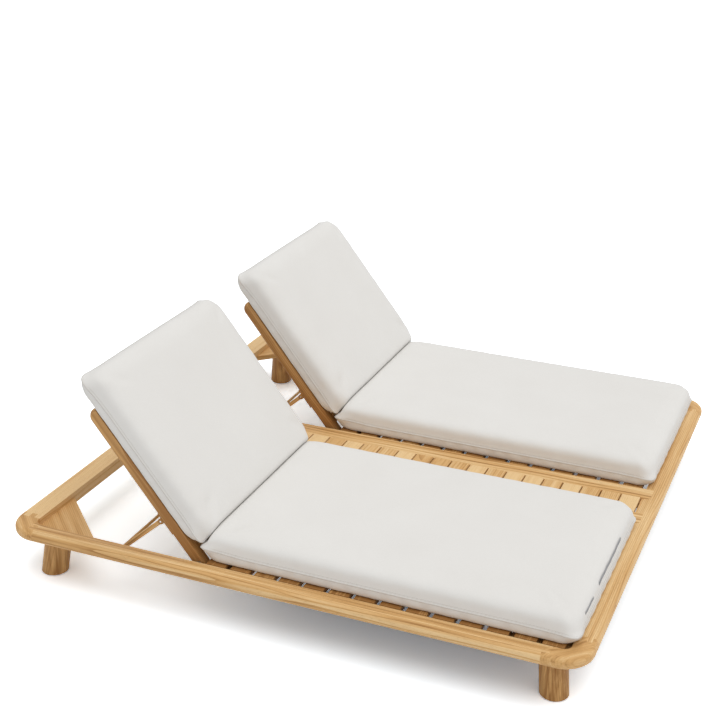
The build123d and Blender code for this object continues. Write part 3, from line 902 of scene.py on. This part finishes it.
CUSHIONS = {}
for side in SIDES:
    for kind in ("seat", "back"):
        low, high = (Vector(corner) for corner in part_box(f"{kind}_cushion_{side}"))
        width = high.y - low.y + 2 * SIDE_PROUD[kind]
        proud = END_PROUD[kind]
        if kind == "seat":
            length = high.x - low.x + proud
            centre = ((low.x + high.x + proud) / 2, (low.y + high.y) / 2, low.z)
            place = Matrix.Translation(centre)
        else:
            length = CUSHION_REACH - CUSHION_START
            middle = Matrix.Translation(((CUSHION_START + CUSHION_REACH) / 2, 0, 0))
            place = back_plane(side, BACKREST_HALF_DEPTH + REST_GAP) @ middle
        piece, seam, above = sew(f"{kind}_cushion_cover_{side}", kind, length, width)
        CUSHIONS[kind, side] = piece, seam, above, place
        print(piece.name, len(piece.data.vertices), "points, seam of", len(seam))

# %% [markdown]
# ## Filling the cushions
#
# Blender's cloth solver stands in for the filling. Pressure pushes the cloth outwards, gravity is
# off, and the held points stay put. Twenty frames are enough for top and side to swell and for the
# corners to pucker. A point may move only a little, because foam doesn't blow up like a balloon.
# The moved points are written back, so no solver is left on the finished cushion. One subdivision
# rounds it later.

# %% Let the filling push
SWELL_LIMIT = 0.005
LAST_FRAME = 20
FILLING = {
    "quality": 6,
    "mass": 0.25,
    "tension_stiffness": 12,
    "compression_stiffness": 12,
    "shear_stiffness": 4,
    "bending_stiffness": 0.4,
    "use_pressure": True,
    "uniform_pressure_force": 3.0,
    "shrink_min": -0.008,
    "vertex_group_mass": "held",
}


def points_of(mesh):
    flat = np.empty(len(mesh.vertices) * 3)
    mesh.vertices.foreach_get("co", flat)
    return flat.reshape(-1, 3)


def set_points(mesh, points):
    mesh.vertices.foreach_set("co", points.reshape(-1))
    mesh.update()


def fill_all(covers):
    """Run the cloth solver on all covers at once, and keep what it did to their points."""
    for cover in covers:
        solver = cover.modifiers.new("filling", "CLOTH")
        for setting, value in FILLING.items():
            setattr(solver.settings, setting, value)
        solver.settings.effector_weights.gravity = 0
        solver.collision_settings.use_collision = False
        solver.collision_settings.use_self_collision = False
        solver.point_cache.frame_start = 1
        solver.point_cache.frame_end = LAST_FRAME
    for number in range(1, LAST_FRAME + 1):
        scene.frame_set(number)
    graph = bpy.context.evaluated_depsgraph_get()
    for cover in covers:
        start = points_of(cover.data)
        pushed = points_of(cover.evaluated_get(graph).to_mesh()).copy()
        cover.evaluated_get(graph).to_mesh_clear()
        move = pushed - start
        far = np.linalg.norm(move, axis=1)
        move *= np.minimum(1, SWELL_LIMIT / np.maximum(far, 1e-9))[:, None]
        cover.modifiers.clear()
        set_points(cover.data, start + move)
        print(cover.name, "moved up to", round(float(far.max()) * 1000, 1), "mm before the limit")
    scene.frame_set(1)


fill_all([piece for piece, *_ in CUSHIONS.values()])

# %% [markdown]
# The covers are now moved into place: flat on the slats for the seats, leaning with the backrest
# for the backs. The place goes into the mesh, because a finished piece sits at the origin. Each
# cover rides on the body that carries it and takes the place of its CAD solid.
#
# The two cushions of a lounger press on each other where they meet. The surface between them is
# bent once: below the bend it lies flatter. Both cushions are pushed back from it, each to its own
# side, and only a thin dark line is left.

# %% Put the cushions in place
def apply_modifiers(piece):
    """Make the piece's modifiers part of its mesh."""
    mesh = evaluated_mesh(piece)
    piece.modifiers.clear()
    old = piece.data
    piece.data = mesh
    bpy.data.meshes.remove(old)


MEETING_BEND = np.array((-0.2731, 0, 0.2655))
MEETING_NORMALS = (np.array((0.912, 0, -0.411)), np.array((0.610, 0, -0.793)))
MEETING_GAP = 0.0024
MEETING_SOFTNESS = 0.0011


def pressed(points, normal):
    """Push points to the side of a plane that its normal shows, with a soft shoulder."""
    depth = (points - MEETING_BEND) @ normal
    excess = (depth - MEETING_GAP / 2) / MEETING_SOFTNESS
    wanted = MEETING_GAP / 2 + MEETING_SOFTNESS * np.logaddexp(0, excess)
    return points + (wanted - depth)[:, None] * normal


def press(points, kind):
    """Keep a cushion on its own side of the bent surface where the two meet."""
    upper, lower = MEETING_NORMALS
    if kind == "back":
        return pressed(pressed(points, -upper), -lower)
    ways = [pressed(points, normal) for normal in MEETING_NORMALS]
    shorter = np.abs(ways[0] - points).sum(axis=1) < np.abs(ways[1] - points).sum(axis=1)
    return np.where(shorter[:, None], *ways)


SEAMS = {}
for (kind, side), (piece, seam, above, place) in CUSHIONS.items():
    body = "frame" if kind == "seat" else f"backrest_{side}"
    softener = piece.modifiers.new("rounded", "SUBSURF")
    softener.levels = softener.render_levels = 1
    apply_modifiers(piece)
    piece.vertex_groups.clear()
    piece.data.transform(place)
    set_points(piece.data, press(points_of(piece.data), kind))
    points = points_of(piece.data)
    SEAMS[kind, side] = points[seam], points[above]
    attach(piece, body)
    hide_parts(f"{kind}_cushion_{side}")
    print(piece.name, len(piece.data.polygons), "faces")

# %% [markdown]
# ## Welt and stitches
#
# A welt is a strip of cloth folded round a cord and caught in the seam. It runs round the cushion
# as a tube three and a half millimetres thick. The first tree below turns the seam's ring of
# points into an even closed curve and sweeps a circle along it. The second sets stitches above the
# welt: small six-sided bars, one every four millimetres, each turned along the seam.

# %% Trees for welt and stitches
WELT_RADIUS = 0.0017
STITCH_PITCH = 0.0042


def ring_mesh(name, points):
    mesh = bpy.data.meshes.new(name)
    count = len(points)
    mesh.from_pydata([tuple(p) for p in points], [(n, (n + 1) % count) for n in range(count)], [])
    return mesh


def welt_tree():
    grown = GrowTree("welt", Step=0.008, Radius=WELT_RADIUS)
    values = {"Curve": grown.path(), "Length": grown.size("Step")}
    even = grown.node("GeometryNodeResampleCurve", {"mode": "LENGTH"}, values)
    values = {"Resolution": 8, "Radius": grown.size("Radius")}
    circle = grown.node("GeometryNodeCurvePrimitiveCircle", {"mode": "RADIUS"}, values)
    return grown.close(grown.sweep(even, circle, caps=False), WELT_CLOTH)


def stitch_tree():
    grown = GrowTree("stitches", Pitch=STITCH_PITCH, Long=0.0030, Thick=0.0006)
    values = {"Vertices": 6, "Radius": grown.size("Thick"), "Depth": grown.size("Long")}
    bar = grown.node("GeometryNodeMeshCylinder", {"fill_type": "NGON"}, values)
    return grown.close(grown.along(grown.path(), grown.size("Pitch"), bar), THREAD)


WELT = welt_tree()
STITCHES = stitch_tree()
print("trees for welt and stitches, one every", STITCH_PITCH * 1000, "mm")

# %% [markdown]
# Both trees start from the seam as the finished covers have it. One smoothing takes the last waves
# out of the ring. The stitches lie part of the way from the seam to the ring of points above it.

# %% Sew the welts on
STITCH_RISE = 0.62


def smooth_ring(points):
    return (np.roll(points, 1, axis=0) + 2 * points + np.roll(points, -1, axis=0)) / 4


for (kind, side), (seam_line, line_above) in SEAMS.items():
    body = "frame" if kind == "seat" else f"backrest_{side}"
    stitch_line = seam_line + (line_above - seam_line) * STITCH_RISE
    for name, tree, line in (("welt", WELT, seam_line), ("stitches", STITCHES, stitch_line)):
        ring = ring_mesh("ring", smooth_ring(line))
        trim = grow(f"{kind}_cushion_{name}_{side}", tree, start=ring)
        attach(trim, body)
        print(trim.name, len(trim.data.polygons), "faces")

# %% [markdown]
# ## The zip
#
# A cover comes off for washing, so it has a long zip. In the picture it shows on the near seat
# cushion alone, as two thin grey strips in the foot end with a covered stretch between them. Each
# is a woven tape with a row of teeth along its middle, and the tree lays both along a line.

# %% A tree that lays a zip along a line
TOOTH_PITCH = 0.0030
TOOTH_DEPTH = 0.0022


def zip_tree():
    grown = GrowTree("zip", Pitch=TOOTH_PITCH, Width=0.005, Thick=0.0009, Tooth=0.0016)
    path = grown.path()
    tape = grown.sweep(path, grown.rectangle("Thick", "Width"), caps=True)
    woven = grown.painted(tape, ZIP_TAPE)
    values = {"X": TOOTH_DEPTH, "Y": grown.size("Tooth"), "Z": grown.size("Tooth")}
    size = grown.node("ShaderNodeCombineXYZ", {}, values)
    nylon = grown.painted(grown.node("GeometryNodeMeshCube", {}, {"Size": size}), ZIP_TEETH)
    row = grown.real(grown.along(path, grown.size("Pitch"), nylon))
    both = grown.tree.nodes.new("GeometryNodeJoinGeometry")
    for geometry in (woven, row):
        grown.tree.links.new(geometry, both.inputs[0])
    return grown.hand_out(both.outputs[0])


ZIP = zip_tree()
print("zip with a tooth every", TOOTH_PITCH * 1000, "mm")

# %% [markdown]
# At even steps across the cushion's foot end a ray finds the cloth, and the tape lies a millimetre
# in front of the points that it hits. A row of `ZIPS` holds a strip's start and end across the
# cushion, its height above the underside, its tape's width and its teeth's thickness.

# %% Lay the zip on the foot end
ZIPS = (
    (0.383, 0.688, 0.0705, 0.0130, 0.0020),
    (0.763, 0.858, 0.0655, 0.0085, 0.0010),
)
ZIP_STEP = 0.012
ZIP_STAND = 0.0010
BEYOND_FOOT = 1.2
TOWARDS_HEAD = Vector((-1, 0, 0))


def lay_zips(side):
    cover = CUSHIONS["seat", side][0].data
    points, faces = points_of(cover).tolist(), [tuple(face.vertices) for face in cover.polygons]
    cloth_tree = BVHTree.FromPolygons(points, faces)
    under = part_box(f"seat_cushion_{side}")[0][2]
    for number, (first, last, height, width, tooth) in enumerate(ZIPS):
        line = []
        for y in np.linspace(first, last, round((last - first) / ZIP_STEP) + 1):
            start = Vector((BEYOND_FOOT, SIDES[side] * y, under + height))
            hit = cloth_tree.ray_cast(start, TOWARDS_HEAD)[0]
            line.append((hit.x + ZIP_STAND, hit.y, hit.z))
        path = bpy.data.meshes.new("zip_line")
        path.from_pydata(line, [(n, n + 1) for n in range(len(line) - 1)], [])
        strip = grow(f"zip_{number + 1}_{side}", ZIP, start=path, Width=width, Tooth=tooth)
        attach(strip, "frame")
        reach = np.ptp(points_of(strip.data), axis=0) * 1000
        print(strip.name, len(strip.data.polygons), "faces,", reach.round(1), "mm")


lay_zips("right")

# %% [markdown]
# ## Floor, light and camera
#
# The picture is a studio shot: a white sweep, one large soft light above and a bright room around.
# The floor takes the lounger's soft shadow. For the camera alone, the light path makes the floor
# give back more light than it gets and glow faintly, and makes the world pure white. So the
# background stays clean, and no more light reaches the lounger.

# %% Floor
WHITE = (1, 1, 1, 1)
FLOOR_REACH = 40.0
FLOOR_DROP = 0.0004
FLOOR_PALE = (0.83, 0.83, 0.83, 1)
FLOOR_DULL = (0.81, 0.81, 0.815, 1)
FLOOR_GRAIN = (240.0, 240.0, 240.0)
FLOOR_SEEN = (1.60, 1.63, 1.66, 1)
FLOOR_LIFT = (0.0, 0.055, 0.096, 1)


def seen_by_camera(network):
    """1 for rays from the camera, and for what metal or glass shows it."""
    ray = network.node("ShaderNodeLightPath").socket.node
    most = Wire(network, ray.outputs["Is Camera Ray"])
    for other in ("Is Glossy Ray", "Is Transmission Ray"):
        most = most.combine("MAXIMUM", most, Wire(network, ray.outputs[other]))
    return most


def white_floor():
    paint = Paint("studio_floor")
    grain = paint.noise(paint.object_place(), FLOOR_GRAIN, 2.0)
    paint.finish(
        Base_Color=paint.blend(grain, FLOOR_PALE, FLOOR_DULL),
        Roughness=0.8,
        Specular_IOR_Level=0.0,
    )
    lit = Wire(paint, paint.surface.outputs[0])
    bright = paint.node("ShaderNodeBsdfDiffuse", {}, {"Color": FLOOR_SEEN})
    glow = paint.node("ShaderNodeEmission", {}, {"Color": FLOOR_LIFT})
    both = paint.node("ShaderNodeAddShader", {}, {0: bright, 1: glow})
    values = {"Fac": seen_by_camera(paint), 1: lit, 2: both}
    choice = paint.node("ShaderNodeMixShader", {}, values)
    paint.put(paint.tree.nodes["Material Output"].inputs["Surface"], choice)
    return paint.material


floor_mesh = bpy.data.meshes.new("studio_floor")
corners = [(x * FLOOR_REACH, y * FLOOR_REACH) for x, y in ((-1, -1), (1, -1), (1, 1), (-1, 1))]
floor_mesh.from_pydata([(x, y, -FLOOR_DROP) for x, y in corners], [], [(0, 1, 2, 3)])
floor_mesh.materials.append(white_floor())
floor = add_piece("studio_floor", floor_mesh)
print("white floor,", 2 * FLOOR_REACH, "m wide")

# %% [markdown]
# The room around is a nearly white world, which the camera sees pure white.

# %% World
ROOM_TINT = (0.995, 0.998, 1.0, 1)
ROOM_LIGHT = 0.62

world = bpy.data.worlds.new("studio")
scene.world = world
world.use_nodes = True
sky = Network(world.node_tree)
sky.tree.nodes.clear()
room = sky.node("ShaderNodeBackground", {}, {"Color": ROOM_TINT, "Strength": ROOM_LIGHT})
white = sky.node("ShaderNodeBackground", {}, {"Color": WHITE, "Strength": 1.0})
shown = sky.node("ShaderNodeMixShader", {}, {"Fac": seen_by_camera(sky), 1: room, 2: white})
sky_out = sky.tree.nodes.new("ShaderNodeOutputWorld")
sky.put(sky_out.inputs["Surface"], shown)
print("white room, strength", ROOM_LIGHT)

# %% [markdown]
# The soft light is a sun with a wide disc. It stands almost overhead, a little towards the foot
# end and the near side, so the shadow stays close under the frame and has no hard edge.

# %% One soft light
LAMP_FROM = Vector((0.30, -0.10, 1.0))
LAMP_LIGHT = 1.34
LAMP_SPREAD = math.radians(64)

lamp = bpy.data.lights.new("softbox", "SUN")
lamp.energy = LAMP_LIGHT
lamp.angle = LAMP_SPREAD
softbox = add_piece("softbox", lamp)
softbox.matrix_world = LAMP_FROM.to_track_quat("Z", "Y").to_matrix().to_4x4()
print("soft light from", tuple(round(v, 2) for v in LAMP_FROM))

# %% [markdown]
# The camera stands where the photographer stood: it was found by fitting a pinhole camera to the
# frame's edges in the picture.

# %% Camera
EYE = Vector((1.6168, -4.3638, 2.5056))
YAW, PITCH, ROLL = -0.3811, 0.3907, 0.0194
LENS = 69.19
SENSOR = 36
FARTHEST = 100


def camera_turn(yaw, pitch, roll):
    level = math.cos(pitch)
    ahead = Vector((math.sin(yaw) * level, math.cos(yaw) * level, -math.sin(pitch)))
    right = Vector((math.cos(yaw), -math.sin(yaw), 0))
    up = right.cross(ahead)
    rolled_right = right * math.cos(roll) + up * math.sin(roll)
    rolled_up = up * math.cos(roll) - right * math.sin(roll)
    return Matrix((rolled_right, rolled_up, -ahead)).transposed()


lens = bpy.data.cameras.new("camera")
lens.lens = LENS
lens.sensor_width = SENSOR
lens.clip_end = FARTHEST
camera = add_piece("camera", lens)
camera.matrix_world = Matrix.Translation(EYE) @ camera_turn(YAW, PITCH, ROLL).to_4x4()
scene.camera = camera
scene.view_settings.view_transform = "Standard"
print("camera at", tuple(EYE))

# %% [markdown]
# ## Size and finish
#
# The dressed model must not outgrow the CAD model.

# %% Write the boxes and finish
def plain(box):
    return [[float(value) for value in corner] for corner in box]
